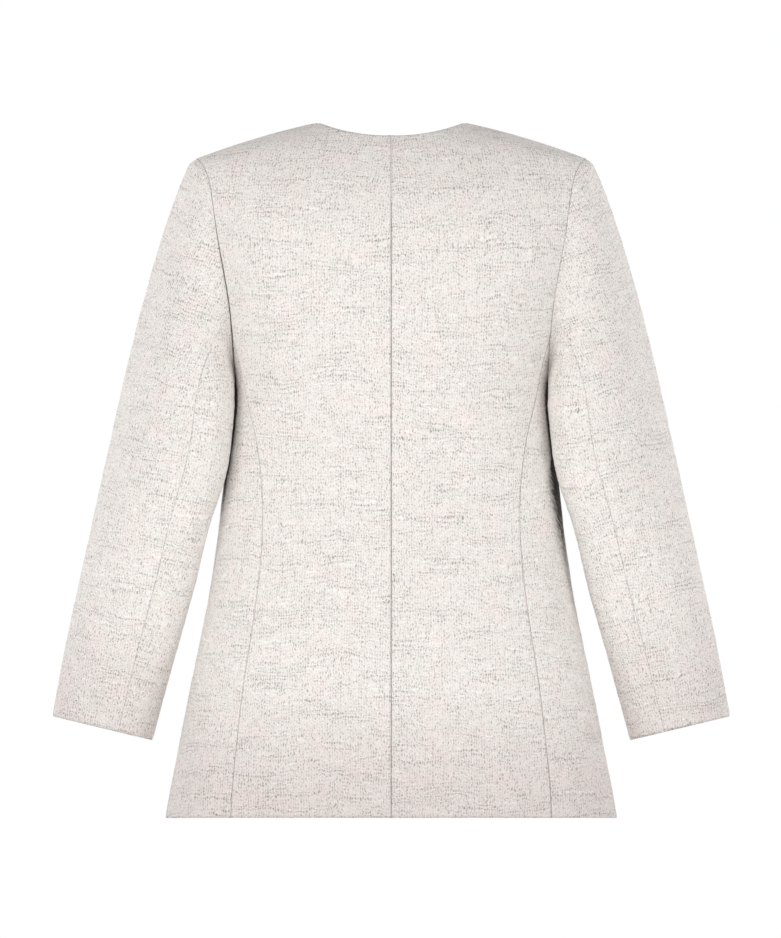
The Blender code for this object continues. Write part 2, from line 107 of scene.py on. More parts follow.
# A seam with a line fainter than this keeps a sharp edge, so that its two pieces join with no shade
FAINT_LINE = 0.24
ON_SEAM = 0.0001

# What each point of the skin tells the cloth: how far it is from a seam, how dark that seam's line is,
# how much painted shade it takes near a free edge, and how deep it lies in the painted shade between the
# sleeve and the body
POINT_VALUES = ("seam", "stitch", "fold", "shade")

# Where the inside of the body and of a sleeve lies, to tell the outer skin from the inner
SLEEVE_TOP = Vector((0.222, 0.004, -0.200))
SLEEVE_END = Vector((0.305, -0.028, -0.640))

# Limits for reading a wall of cloth from the frame and for finding where pieces meet.
# FAR is the distance given where a piece has no free edge.
MERGE = 0.00002
WALL = 0.0020
QUAD_ANGLE = math.radians(60)
JOIN_REACH = 0.0035
CORNER_REACH = 0.0015
FAR = 1.0

# How finely the skin is rounded, and how closely it keeps to its solid
SMOOTH_LEVELS = 3
FIT_ROUNDS = 6
BODY_FIT, SLEEVE_FIT = 0.5, 1.0
FIT_LIMIT = 0.008
NECK_POINT = Vector((0.0765, 0.0, 0.0))
NECK_REACH = (0.020, 0.050)

# How near and where the sleeve and the body shade each other: by how far the cloth lies round
# the side, by height, and less on the front. CLEAR lifts each test line off its own cloth.
SHADE_REACH = {"left": 0.014, "right": 0.030}
NARROW_FLANK = (0.93, 0.975)
WIDE_FLANK = (0.60, 1.04)
WIDE_HEIGHTS = (-0.345, -0.400)
SHADE_HEIGHTS = {"left": (-0.20, -0.22), "right": (-0.262, -0.300)}
FRONT_SHADE = 0.3
BACK_DEPTH = 0.02
SHADE_TURN = 2.0
SHADE_LEANS = ((0.0, 0.0), (1.0, 0.0), (-1.0, 0.0), (0.0, 1.0), (0.0, -1.0))
CLEAR = 0.0004

# How far up from a free edge the painted shade reaches, darker and pinker where less light falls, and
# how strong it is at the hem, the cuffs and the neckline
EDGE_SHADE_REACH = (0.165, 0.005)
HEM_EDGE_SHADE, CUFF_EDGE_SHADE, NECK_EDGE_SHADE = 1.0, 0.65, 0.2
WAIST_HEIGHT = -0.4

# Where and how far the sleeve leans on the body under the arm, and how squarely it faces the body there
REST_HEIGHT = -0.270
REST_SPREAD = 0.024
REST_RISE = 0.0018
REST_REACH = 0.003
REST_FACING, REST_TURN = 0.75, 0.2

# How the sleeve's head stands up beside the shoulder's corner
HEAD_HEIGHTS = (-0.062, -0.046)
HEAD_RISE = 0.0012
HEAD_NEAR = 0.003
HEAD_END = (0.007, 0.020)

# Relief of the cloth, in metres along its flat shape, and the layers of noise that it takes.
# SHALLOW is the share of a dark seam's depth that the faintest seam has.
SOFT_ACROSS, SOFT_DOWN, SOFT_LAYER = 0.055, 0.034, 0.0
CRINKLE_ACROSS, CRINKLE_DOWN, CRINKLE_LAYER = 0.036, 0.0125, 5.0
CRINKLE_LEVEL = 0.30
FADE_REACH = 0.010
SHALLOW = 0.08

# Weave: features a metre across and down the cloth of each kind of patch, and its yarns' sway in metres
ROW_SWAY = (12.0, 30.0)
YARN_JITTER = (170.0, 190.0)
ROW_PATCH = (17.0, 80.0)
CREST_PATCH = (22.0, 95.0)
OPEN_PATCH = (60.0, 45.0)
TINT_PATCH = (30.0, 38.0)
FUZZ_PATCH = (760.0, 640.0)
STRAND_PATCH = (110.0, 340.0)
STRAND_SLANT = 0.6
ROW_RISE = 0.018
YARN_SHAKE = 0.0045

# Weave: how sharp its rows and yarn ends are, and where each kind of patch begins and is full
STITCH_RATE = 1.3
END_POWER, VALLEY_POWER, CREST_POWER = 1.5, 5.0, 6.0
CREST_TURN = -2.2
DEEP_ROWS = (0.47, 0.70)
HIGH_ROWS = (0.47, 0.60)
OPEN_WEAVE = (0.30, 0.70)
FUZZ_LEVELS = (0.40, 0.85)
BRIGHT_LEVELS = (0.50, 0.80)
STRAND_LEVELS = (0.35, 0.65)
ROSE_LEVELS = (0.40, 0.95)
SAGE_LEVELS = (0.50, 1.00)

# Weave: how much each part of it darkens the cloth with painted shade, lightens it with painted
# highlights and lifts it
END_DOT, LEAST_DOT = 0.75, 0.15
CLOSE_DOT, OPEN_DOT = 0.75, 0.3
DOT_SHARE = 0.8
FUZZ_SHARE = 0.30
BRIGHT_SHARE = 0.40
STRING_SHARE = 0.6
STRING_BREAK = 0.85
LINE_BREAK = 0.5
RIDGE_RISE = 0.6
SHADE_STRENGTH = 2.4
SHADE_STREAK = 0.6
SHADE_DEPTH = 1.5

# The photograph's frame, whose pixels are PIXEL metres wide, and what lies at its centre
PIXEL = 0.001056
FRAME_HEIGHT = 938
CENTRE_X = 0.0008
CENTRE_Z = -0.3664
CAMERA_AWAY = 3.0

# The lights behind the jacket, doubled before it: how far aside each stands, and its power in watts
LIGHTS = {"key": (0.5, 12.0), "left": (2.8, 30.0), "right": (-2.8, 28.0)}
LIGHT_AWAY = 2.6
LIGHT_LEVEL = -0.15
WHITE = (1.0, 1.0, 1.0, 1.0)


class ClothSizes(bpy.types.PropertyGroup):
    """Sizes of the cloth and its relief."""

    thickness: FloatProperty(
        name="Thickness", description="Thickness of the tweed",
        default=0.0017, min=0.001, max=0.003, unit="LENGTH")
    seam_width: FloatProperty(
        name="Seam valley", description="Half the width of the valley along a sewn seam",
        default=0.0013, min=0.0005, max=0.004, unit="LENGTH")
    seam_line: FloatProperty(
        name="Seam line", description="Half the width of the dark line along a sewn seam",
        default=0.0008, min=0.0003, max=0.003, unit="LENGTH")
    seam_depth: FloatProperty(
        name="Seam depth", description="How far the cloth turns in at a sewn seam",
        default=0.0005, min=0.0, max=0.002, unit="LENGTH")
    edge_round: FloatProperty(
        name="Edge rounding", description="How far the folded hems, cuffs and neckline turn over",
        default=0.0007, min=0.0, max=0.002, unit="LENGTH")
    soft_rise: FloatProperty(
        name="Soft rise", description="Height of the broad unevenness of the cloth",
        default=0.00025, min=0.0, max=0.003, unit="LENGTH")
    crinkle_rise: FloatProperty(
        name="Crinkle rise", description="Height of the crinkles that run across the cloth",
        default=0.00035, min=0.0, max=0.002, unit="LENGTH")


class TweedLook(bpy.types.PropertyGroup):
    """Colours and yarns of the tweed."""

    cream: FloatVectorProperty(
        name="Cream", description="Colour of the raised yarns",
        subtype="COLOR", size=4, default=(0.87, 0.84, 0.80, 1.0), min=0.0, max=1.0)
    # Painted shade: the hollows between the yarns are darkened in colour, and the seam lines take the
    # same colour
    hollow: FloatVectorProperty(
        name="Hollow", description="Colour of the hollows between the yarns",
        subtype="COLOR", size=4, default=(0.39, 0.36, 0.34, 1.0), min=0.0, max=1.0)
    rose: FloatVectorProperty(
        name="Rose tint", description="Colour of the warmer patches",
        subtype="COLOR", size=4, default=(0.93, 0.825, 0.80, 1.0), min=0.0, max=1.0)
    sage: FloatVectorProperty(
        name="Sage tint", description="Colour of the cooler patches",
        subtype="COLOR", size=4, default=(0.83, 0.845, 0.765, 1.0), min=0.0, max=1.0)
    # Painted highlight: the raised rows and bright specks are lightened in colour
    crest_highlight: FloatVectorProperty(
        name="Crest", description="Colour of the raised rows",
        subtype="COLOR", size=4, default=(0.98, 0.97, 0.94, 1.0), min=0.0, max=1.0)
    # Painted shade near the free edges: a darker, pinker tint at the hem, the cuffs and the neckline,
    # where less light falls
    edge_shade_tint: FloatVectorProperty(
        name="Doubled cloth", description="Tint of the cloth where hems and cuffs are turned up",
        subtype="COLOR", size=4, default=(0.845, 0.812, 0.818, 1.0), min=0.0, max=1.0)
    deep: FloatVectorProperty(
        name="Deep shade", description="Colour deep between the sleeve and the body",
        subtype="COLOR", size=4, default=(0.030, 0.015, 0.009, 1.0), min=0.0, max=1.0)
    warp_pitch: FloatProperty(
        name="Warp pitch", description="Distance between the yarns that run down the cloth",
        default=0.00275, min=0.001, max=0.01, unit="LENGTH")
    weft_pitch: FloatProperty(
        name="Weft pitch", description="Distance between the yarns that run across the cloth",
        default=0.0050, min=0.001, max=0.01, unit="LENGTH")
    yarn_height: FloatProperty(
        name="Yarn height", description="Height of the yarns over the hollows between them",
        default=0.0005, min=0.0, max=0.002, unit="LENGTH")
    roughness: FloatProperty(
        name="Roughness", description="How matt the yarns are",
        default=0.9, min=0.0, max=1.0, subtype="FACTOR")
    gloss: FloatProperty(
        name="Gloss", description="How much light the yarns mirror",
        default=0.25, min=0.0, max=1.0, subtype="FACTOR")
    sheen: FloatProperty(
        name="Sheen", description="How much the loose fibres catch the light",
        default=0.15, min=0.0, max=1.0, subtype="FACTOR")
    sheen_roughness: FloatProperty(
        name="Sheen roughness", description="How widely the loose fibres spread the light",
        default=0.6, min=0.0, max=1.0, subtype="FACTOR")


class StudioLook(bpy.types.PropertyGroup):
    """Floor and light of the studio."""

    floor_level: FloatProperty(
        name="Floor level", description="Height of the floor under the hanging jacket",
        default=-1.45, min=-3.0, max=-0.8, unit="LENGTH")
    floor_size: FloatProperty(
        name="Floor size", description="Side of the square floor",
        default=90.0, min=10.0, max=200.0, unit="LENGTH")
    floor_colour: FloatVectorProperty(
        name="Floor colour", description="Pale colour of the floor",
        subtype="COLOR", size=4, default=(0.86, 0.86, 0.86, 1.0), min=0.0, max=1.0)
    floor_roughness: FloatProperty(
        name="Floor roughness", description="How matt the floor is",
        default=0.9, min=0.0, max=1.0, subtype="FACTOR")
    light_size: FloatProperty(
        name="Light size", description="Side of each square light",
        default=1.4, min=0.2, max=5.0, unit="LENGTH")
    ambient: FloatProperty(
        name="Ambient", description="Strength of the light from all round",
        default=0.763, min=0.0, max=2.0)
    overhead: FloatProperty(
        name="Overhead", description="Share of the light from all round that is left straight above",
        default=0.72, min=0.0, max=1.0, subtype="FACTOR")
    ambient_tint: FloatVectorProperty(
        name="Ambient tint", description="Colour of the light from all round",
        subtype="COLOR", size=4, default=(1.0, 0.975, 0.976, 1.0), min=0.0, max=1.0)


def node_of(kind, hand):
    """Name of a piece's node in the frame."""
    return f"{kind.name}_{hand}"


def piece_of(kind, hand):
    """Name of a piece's finished object."""
    return f"tweed_{kind.name}_{hand}"


def soft_step(share):
    """Ease from 0 to 1."""
    share = min(max(share, 0.0), 1.0)
    return share * share * (3 - 2 * share)


def ramp(value, start, full):
    """Ease from 0 where a value is at its start to 1 where it is full."""
    return soft_step((value - start) / (full - start))


def is_sleeve(kind):
    """Whether a kind of piece belongs to the sleeve."""
    return kind in (TOP_SLEEVE, UNDER_SLEEVE)


def axis_point(point, kind):
    """Point inside the body or the sleeve that a point of the cloth faces away from."""
    if not is_sleeve(kind):
        return Vector((0.0, 0.0, point.z))
    side = math.copysign(1.0, point.x)
    top = Vector((SLEEVE_TOP.x * side, SLEEVE_TOP.y, SLEEVE_TOP.z))
    along = Vector((SLEEVE_END.x * side, SLEEVE_END.y, SLEEVE_END.z)) - top
    share = (point - top).dot(along) / along.length_squared
    return top + along * min(max(share, 0.0), 1.0)


def tree_of(points):
    """A search tree of points."""
    tree = KDTree(len(points))
    for index, point in enumerate(points):
        tree.insert(point, index)
    tree.balance()
    return tree


def outer_skin(node, kind):
    """The outer skin of a wall of cloth, as quads.

    Every point of the wall has its partner straight across it, so the way from the partner
    tells the two skins apart, and the outer one is followed from its furthest point.
    """
    shape = bmesh.new()
    shape.from_mesh(frame["nodes"][node].data)
    bmesh.ops.remove_doubles(shape, verts=shape.verts[:], dist=MERGE)
    tree = tree_of([vert.co for vert in shape.verts])
    across = {}
    for vert in shape.verts:
        partner = min(tree.find_range(vert.co, WALL * 2), key=lambda found: abs(found[2] - WALL))
        across[vert] = vert.co - partner[0]
    furthest = max(shape.verts, key=lambda vert: across[vert].dot(vert.co - axis_point(vert.co, kind)))
    outer, waiting = {furthest}, [furthest]
    while waiting:
        vert = waiting.pop()
        for edge in vert.link_edges:
            other = edge.other_vert(vert)
            if other not in outer and across[other].dot(across[vert]) > 0:
                outer.add(other)
                waiting.append(other)
    rest = [vert for vert in shape.verts if vert not in outer]
    bmesh.ops.delete(shape, geom=rest, context="VERTS")
    bmesh.ops.join_triangles(
        shape, faces=shape.faces[:], angle_face_threshold=QUAD_ANGLE,
        angle_shape_threshold=QUAD_ANGLE, cmp_seam=False, cmp_sharp=False,
        cmp_uvs=False, cmp_vcols=False, cmp_materials=False)
    return shape


def is_corner(vert):
    """Whether a point of a skin is one of its grid's corners."""
    return len(vert.link_edges) == 2


@functools.cache
def all_corners():
    """The corners of every piece, as a search tree."""
    points = []
    for kind in KINDS:
        for hand in HANDS:
            shape = outer_skin(node_of(kind, hand), kind)
            points += [vert.co.copy() for vert in shape.verts if is_corner(vert)]
            shape.free()
    return tree_of(points)


def hold_corners(shape):
    """Keep the border where another piece has a corner, so that both stay together when rounded."""
    held = shape.verts.layers.float.new("crease_vert")
    for vert in shape.verts:
        if vert.is_boundary and all_corners().find(vert.co)[2] < CORNER_REACH:
            vert[held] = 1.0


def new_object(name, shape):
    """An object that holds a finished bmesh, which is freed."""
    mesh = bpy.data.meshes.new(name)
    shape.to_mesh(mesh)
    shape.free()
    piece = bpy.data.objects.new(name, mesh)
    bpy.context.scene.collection.objects.link(piece)
    return piece


def unfold(piece):
    """Flatten the skin into the shape it is cut to, as a UV map of its own."""
    piece.data.uv_layers.new(name="cut")
    for other in bpy.context.view_layer.objects.selected[:]:
        other.select_set(False)
    piece.select_set(True)
    bpy.context.view_layer.objects.active = piece
    bpy.ops.object.mode_set(mode="EDIT")
    bpy.ops.mesh.select_all(action="SELECT")
    bpy.ops.uv.unwrap(method="ANGLE_BASED", margin=0.0)
    bpy.ops.object.mode_set(mode="OBJECT")


def grain_height(point, kind):
    """How far up the grain a point lies: up the body, or up along the sleeve."""
    if not is_sleeve(kind):
        return point.z
    side = math.copysign(1.0, point.x)
    along = SLEEVE_TOP - SLEEVE_END
    return point.dot(Vector((along.x * side, along.y, along.z)).normalized())


def lay_on_grain(piece, kind, shift):
    """Turn the cut so that its grain runs up, scale it to metres and give its width and length."""
    shape = bmesh.new()
    shape.from_mesh(piece.data)
    cut = shape.loops.layers.uv.verify()
    places = {}
    for face in shape.faces:
        for loop in face.loops:
            places[loop.vert] = loop[cut].uv.copy()
    real_area = sum(face.calc_area() for face in shape.faces)
    flat_area = 0.0
    for face in shape.faces:
        corners = [loop[cut].uv for loop in face.loops]
        flat_area += abs(sum(a.cross(b) for a, b in zip(corners, corners[1:] + corners[:1]))) / 2
    scale = math.sqrt(real_area / flat_area)
    middle = sum(places.values(), Vector((0.0, 0.0))) / len(places)
    level = sum(grain_height(vert.co, kind) for vert in places) / len(places)
    wide = mixed = tall = lean_across = lean_up = 0.0
    for vert, place in places.items():
        away = place - middle
        rise = grain_height(vert.co, kind) - level
        wide += away.x ** 2
        mixed += away.x * away.y
        tall += away.y ** 2
        lean_across += away.x * rise
        lean_up += away.y * rise
    size = wide * tall - mixed ** 2
    up = Vector(((tall * lean_across - mixed * lean_up) / size,
                 (wide * lean_up - mixed * lean_across) / size)).normalized()
    across = Vector((up.y, -up.x))
    laid = {}
    for vert, place in places.items():
        away = (place - middle) * scale
        laid[vert] = Vector((away.dot(across), away.dot(up)))
    for face in shape.faces:
        for loop in face.loops:
            loop[cut].uv = laid[loop.vert] + Vector((shift, shift))
    shape.to_mesh(piece.data)
    shape.free()
    width = max(place.x for place in laid.values()) - min(place.x for place in laid.values())
    length = max(place.y for place in laid.values()) - min(place.y for place in laid.values())
    return (width, length), real_area


def fit_share(place, kind):
    """How closely the rounded cloth keeps to a point of its solid: less by the neck's corner."""
    if is_sleeve(kind):
        return SLEEVE_FIT
    gap = (Vector((abs(place.x), place.y, place.z)) - NECK_POINT).length
    return BODY_FIT * ramp(gap, *NECK_REACH)


def smooth_out(piece, kind):
    """Round the skin with Catmull-Clark levels, through the points of its solid, and keep the result."""
    smoothing = piece.modifiers.new("smooth", "SUBSURF")
    smoothing.boundary_smooth = "PRESERVE_CORNERS"
    smoothing.levels = 1
    coarse = piece.data
    wanted = [vert.co.copy() for vert in coarse.vertices]
    uses = Counter(edge for face in coarse.polygons for edge in face.edge_keys)
    border = {index for edge, count in uses.items() if count == 1 for index in edge}
    for _ in range(FIT_ROUNDS):
        rounded = piece.evaluated_get(bpy.context.evaluated_depsgraph_get()).data
        gaps = [place - rounded.vertices[index].co for index, place in enumerate(wanted)]
        for vert, gap, place in zip(coarse.vertices, gaps, wanted):
            if vert.index not in border:
                gap = vert.normal * gap.dot(vert.normal)
            move = vert.co + gap * fit_share(place, kind) - place
            vert.co = place + move * min(1.0, FIT_LIMIT / max(move.length, MERGE))
        coarse.update()
    smoothing.levels = SMOOTH_LEVELS
    smoothing.render_levels = SMOOTH_LEVELS
    seen = piece.evaluated_get(bpy.context.evaluated_depsgraph_get())
    fine = bpy.data.meshes.new_from_object(seen)
    piece.modifiers.remove(smoothing)
    piece.data = fine
    bpy.data.meshes.remove(coarse)


def border_points(mesh):
    """Points along the free edges of a mesh: each edge's ends and its middle."""
    shape = bmesh.new()
    shape.from_mesh(mesh)
    points = []
    for edge in shape.edges:
        if edge.is_boundary:
            first, last = edge.verts
            points += [first.co.copy(), (first.co + last.co) / 2, last.co.copy()]
    shape.free()
    return points


def relief_at(place, sizes):
    """Height of the cloth's soft unevenness and crinkles at a place of the cut."""
    soft = noise.noise(Vector((place.x / SOFT_ACROSS, place.y / SOFT_DOWN, SOFT_LAYER)))
    wave = noise.noise(Vector((place.x / CRINKLE_ACROSS, place.y / CRINKLE_DOWN, CRINKLE_LAYER)))
    crinkle = min(abs(wave) / CRINKLE_LEVEL, 1.0) - 0.5
    return soft * sizes.soft_rise + crinkle * sizes.crinkle_rise


def joined_tree(nodes):
    """One search tree of several pieces of the frame, with the name of the piece of each face."""
    points, faces, owners = [], [], []
    for name in nodes:
        mesh = frame["nodes"][name].data
        first = len(points)
        points += [vert.co.copy() for vert in mesh.vertices]
        faces += [[first + index for index in face.vertices] for face in mesh.polygons]
        owners += [name] * len(mesh.polygons)
    return BVHTree.FromPolygons(points, faces), owners


def line_at(node, other, height):
    """How dark and how wide the seam line between two pieces is at a height."""
    kinds = frozenset(name.rsplit("_", 1)[0] for name in (node, other))
    line = SEAM_LINES.get(kinds, (EVEN_LINE, EVEN_LINE))[HANDS.index(node.rsplit("_", 1)[1])]
    share = ramp(height, line.high, line.low)
    return line.upper + (line.lower - line.upper) * share, line.width


def shade_at(place, facing_way, others, reach):
    """How far another piece fills the space before the cloth."""
    if others.find_nearest(place, reach)[0] is None:
        return 0.0
    aside = facing_way.orthogonal().normalized()
    ahead = facing_way.cross(aside)
    filled = 0.0
    for lean_aside, lean_ahead in SHADE_LEANS:
        way = (facing_way + aside * lean_aside + ahead * lean_ahead).normalized()
        gap = others.ray_cast(place + facing_way * CLEAR, way, reach)[3]
        if gap is not None:
            filled += 1 - gap / reach
    return filled / len(SHADE_LEANS)


def flank_share(vert, hand):
    """How far a point of the body lies round the side, where the sleeve shades it."""
    wide = ramp(vert.co.z, *WIDE_HEIGHTS) if hand == "right" else 0.0
    low, high = (narrow + (broad - narrow) * wide for narrow, broad in zip(NARROW_FLANK, WIDE_FLANK))
    return ramp(abs(vert.normal.x), low, high)


def underarm_rest(vert, kind):
    """How far the sleeve leans on the body just under the arm."""
    if not is_sleeve(kind):
        return 0.0
    inwards = -vert.normal.x * math.copysign(1.0, vert.co.x)
    level = soft_step(1 - abs(vert.co.z - REST_HEIGHT) / REST_SPREAD)
    return REST_RISE * level * soft_step((inwards - REST_FACING) / REST_TURN)


def head_rise(place, kind, seam):
    """How far the top sleeve stands up beside the seam at the shoulder's corner."""
    if kind is not TOP_SLEEVE:
        return 0.0
    beside = soft_step(seam / HEAD_NEAR) * (1 - ramp(seam, *HEAD_END))
    return HEAD_RISE * ramp(place.z, *HEAD_HEIGHTS) * beside


def edge_shade_share(kind, place, edge):
    """How much painted shade the cloth takes near a free edge: in full at the hem, and less at the cuffs
    and the neckline.
    """
    strength = CUFF_EDGE_SHADE if is_sleeve(kind) else HEM_EDGE_SHADE
    if place.z > WAIST_HEIGHT:
        strength = NECK_EDGE_SHADE
    return strength * ramp(edge, *EDGE_SHADE_REACH)


def shade_share(vert, kind, hand, others):
    """How deep the cloth lies in the shade between the sleeve and the body."""
    shade = shade_at(vert.co, vert.normal, others, SHADE_REACH[hand])
    shade *= soft_step(-vert.normal.y * SHADE_TURN) if is_sleeve(kind) else flank_share(vert, hand)
    shade *= ramp(vert.co.z, *SHADE_HEIGHTS[hand])
    return shade * (FRONT_SHADE + (1 - FRONT_SHADE) * soft_step(vert.co.y / BACK_DEPTH))


def lift_at(vert, kind, place, gaps, strength, sizes):
    """How far the relief, the seams and the free edges move a point of the skin."""
    seam, edge = gaps
    lift = relief_at(place, sizes) * soft_step(min(seam, edge) / FADE_REACH)
    lift += underarm_rest(vert, kind) * soft_step(seam / REST_REACH) + head_rise(vert.co, kind, seam)
    depth = sizes.seam_depth * (SHALLOW + (1 - SHALLOW) * strength)
    lift -= depth * (1 - soft_step(seam / sizes.seam_width))
    return lift - sizes.edge_round * (1 - soft_step(edge / sizes.seam_width)) ** 2


def shape_surface(piece, kind, hand, borders, sizes):
    """Give the fine skin its relief, its valleys at the seams, its rounded free edges and its painted
    shades.
    """
    shape = bmesh.new()
    shape.from_mesh(piece.data)
    shape.normal_update()
    cut = shape.loops.layers.uv.verify()
    layers = [shape.verts.layers.float.new(name) for name in POINT_VALUES]
    sewn, lines, free = borders
    facing = [node_of(other, hand) for other in KINDS if is_sleeve(other) != is_sleeve(kind)]
    others = joined_tree(facing)[0]
    moves = []
    faint = set()
    for vert in shape.verts:
        _, nearest, seam = sewn.find(vert.co)
        edge = free.find(vert.co)[2] if free else FAR
        strength, width = lines[nearest]
        fold = edge_shade_share(kind, vert.co, edge)
        shade = shade_share(vert, kind, hand, others)
        for layer, value in zip(layers, (seam / width, strength, fold, shade)):
            vert[layer] = value
        if seam / width < ON_SEAM and strength < FAINT_LINE:
            faint.add(vert)
        place = vert.link_loops[0][cut].uv
        moves.append((vert, vert.normal * lift_at(vert, kind, place, (seam, edge), strength, sizes)))
    for rim in shape.edges:
        if rim.is_boundary and faint.issuperset(rim.verts):
            rim.smooth = False
    for vert, move in moves:
        vert.co += move
    shape.to_mesh(piece.data)
    shape.free()


def thicken(piece, sizes):
    """Turn the skin into cloth of its real thickness, inwards from its outer face."""
    wall = piece.modifiers.new("thickness", "SOLIDIFY")
    wall.thickness = sizes.thickness
    wall.offset = -1.0
    wall.use_rim = True
    piece.data.shade_smooth()


def node_maker(tree):
    """Make a function that adds a node, sets its fields and feeds its inputs."""
    def add(kind, fields=None, **inputs):
        node = tree.nodes.new("ShaderNode" + kind)
        for name, value in (fields or {}).items():
            setattr(node, name, value)
        for name, value in inputs.items():
            socket = node.inputs[int(name[1:]) if name[1:].isdigit() else name.replace("_", " ")]
            if isinstance(value, bpy.types.NodeSocket):
                tree.links.new(value, socket)
            else:
                socket.default_value = value
        return node
    return add


def calculator(add):
    """Make a function that adds a Math node and gives its output."""
    def work(operation, *values, clamp=False):
        inputs = {f"i{index}": value for index, value in enumerate(values)}
        return add("Math", {"operation": operation, "use_clamp": clamp}, **inputs).outputs[0]
    return work


def new_group(name, inputs, outputs):
    """A shader node group with float and vector sockets. Gives it with its two end nodes."""
    tree = bpy.data.node_groups.new(name, "ShaderNodeTree")
    for socket, kind in inputs:
        tree.interface.new_socket(name=socket, in_out="INPUT", socket_type="NodeSocket" + kind)
    for socket, kind in outputs:
        tree.interface.new_socket(name=socket, in_out="OUTPUT", socket_type="NodeSocket" + kind)
    return tree, tree.nodes.new("NodeGroupInput").outputs, tree.nodes.new("NodeGroupOutput").inputs


def stretched_noise(add, place, patch, detail=2.0):
    """Smooth noise whose patches are stretched: features a metre, across the cloth and down it."""
    spot = add("Mapping", {"vector_type": "POINT"}, Vector=place, Scale=(*patch, 1.0))
    return add("TexNoise", {"noise_dimensions": "2D"}, Vector=spot.outputs[0],
               Scale=1.0, Detail=detail, Roughness=0.5).outputs


def eased(add, value, levels):
    """A soft step of a value from 0 at the first level to 1 at the second."""
    low, high = levels
    step = add("MapRange", {"interpolation_type": "SMOOTHSTEP"}, Value=value)
    step.inputs["From Min"].default_value = low
    step.inputs["From Max"].default_value = high
    return step.outputs[0]


def yarn_group():
    """The weave: grooves between the warp ribs, wavy sunken and raised weft rows, and its dark dots, as
    masks of painted shade in the hollows and painted highlights on the crests, and as its bump.
    """
    tree, given, wanted = new_group(
        "tweed_yarns",
        (("Cut", "Vector"), ("Warp pitch", "Float"), ("Weft pitch", "Float")),
        (("Hollow", "Float"), ("Ridge", "Float"), ("Strand", "Float"), ("Height", "Float")))
    add = node_maker(tree)
    work = calculator(add)
    cut = given["Cut"]

    def patches(patch, levels):
        return eased(add, stretched_noise(add, cut, patch)["Fac"], levels)

    def wave(turns, shift=0.0):
        angle = work("MULTIPLY_ADD", turns, 2 * math.pi, shift)
        return work("MULTIPLY_ADD", work("COSINE", angle), 0.5, 0.5)

    split = add("SeparateXYZ", Vector=cut)
    sway = stretched_noise(add, cut, ROW_SWAY)["Fac"]
    shake = add("SeparateColor", Color=stretched_noise(add, cut, YARN_JITTER)["Color"])
    across = work("MULTIPLY_ADD", shake.outputs[0], YARN_SHAKE, split.outputs["X"])
    down = work("MULTIPLY_ADD", shake.outputs[1], YARN_SHAKE, split.outputs["Y"])
    down = work("MULTIPLY_ADD", sway, ROW_RISE, down)
    column = work("DIVIDE", across, given["Warp pitch"])
    row = work("DIVIDE", down, given["Weft pitch"])
    groove = wave(column)
    stagger = add("TexWhiteNoise", {"noise_dimensions": "1D"}, W=work("ROUND", column)).outputs["Value"]
    stitch = work("MULTIPLY_ADD", row, STITCH_RATE, stagger)
    yarn_end = work("POWER", wave(stitch), END_POWER)
    valley = work("POWER", wave(row), VALLEY_POWER)
    crest_highlight = work("POWER", wave(row, CREST_TURN), CREST_POWER)

    cell = add("CombineXYZ", X=work("ROUND", column), Y=work("ROUND", stitch))
    chance = add("TexWhiteNoise", {"noise_dimensions": "2D"}, Vector=cell.outputs[0]).outputs["Value"]
    ends = work("MULTIPLY", groove, work("MULTIPLY_ADD", yarn_end, END_DOT, 1 - END_DOT))
    dot_sizes = work("MULTIPLY", work("ADD", chance, LEAST_DOT),
                     work("MULTIPLY_ADD", patches(OPEN_PATCH, OPEN_WEAVE), OPEN_DOT, CLOSE_DOT))
    dots = work("MULTIPLY", ends, dot_sizes)
    broken = work("MULTIPLY", valley, work("MULTIPLY_ADD", groove, STRING_BREAK, 1 - STRING_BREAK))
    strings = work("MULTIPLY", broken, patches(ROW_PATCH, DEEP_ROWS))
    specks = add("SeparateColor", Color=stretched_noise(add, cut, FUZZ_PATCH, detail=0.0)["Color"])
    fuzz = eased(add, specks.outputs[0], FUZZ_LEVELS)
    # Bright specks of painted highlight
    bright = eased(add, specks.outputs[1], BRIGHT_LEVELS)
    # Painted shade in the weave's hollows: the dark dots, fuzz and sunken rows, which also sink the bump
    hollow = work("ADD", work("MULTIPLY_ADD", dots, DOT_SHARE, work("MULTIPLY", fuzz, FUZZ_SHARE)),
                  work("MULTIPLY", strings, STRING_SHARE), clamp=True)
    # Painted highlights on the raised rows and bright specks, which also lift the bump
    ridge = work("MAXIMUM", work("MULTIPLY", crest_highlight, patches(CREST_PATCH, HIGH_ROWS)),
                 work("MULTIPLY", bright, BRIGHT_SHARE))
    height = work("SUBTRACT", work("MULTIPLY", ridge, RIDGE_RISE), hollow)
    slant = work("MULTIPLY_ADD", split.outputs["X"], STRAND_SLANT, split.outputs["Y"])
    leaning = add("CombineXYZ", X=split.outputs["X"], Y=slant).outputs[0]
    strands = eased(add, stretched_noise(add, leaning, STRAND_PATCH, detail=0.0)["Fac"], STRAND_LEVELS)
    for name, value in (("Hollow", hollow), ("Ridge", ridge), ("Strand", strands), ("Height", height)):
        tree.links.new(value, wanted[name])
    return tree


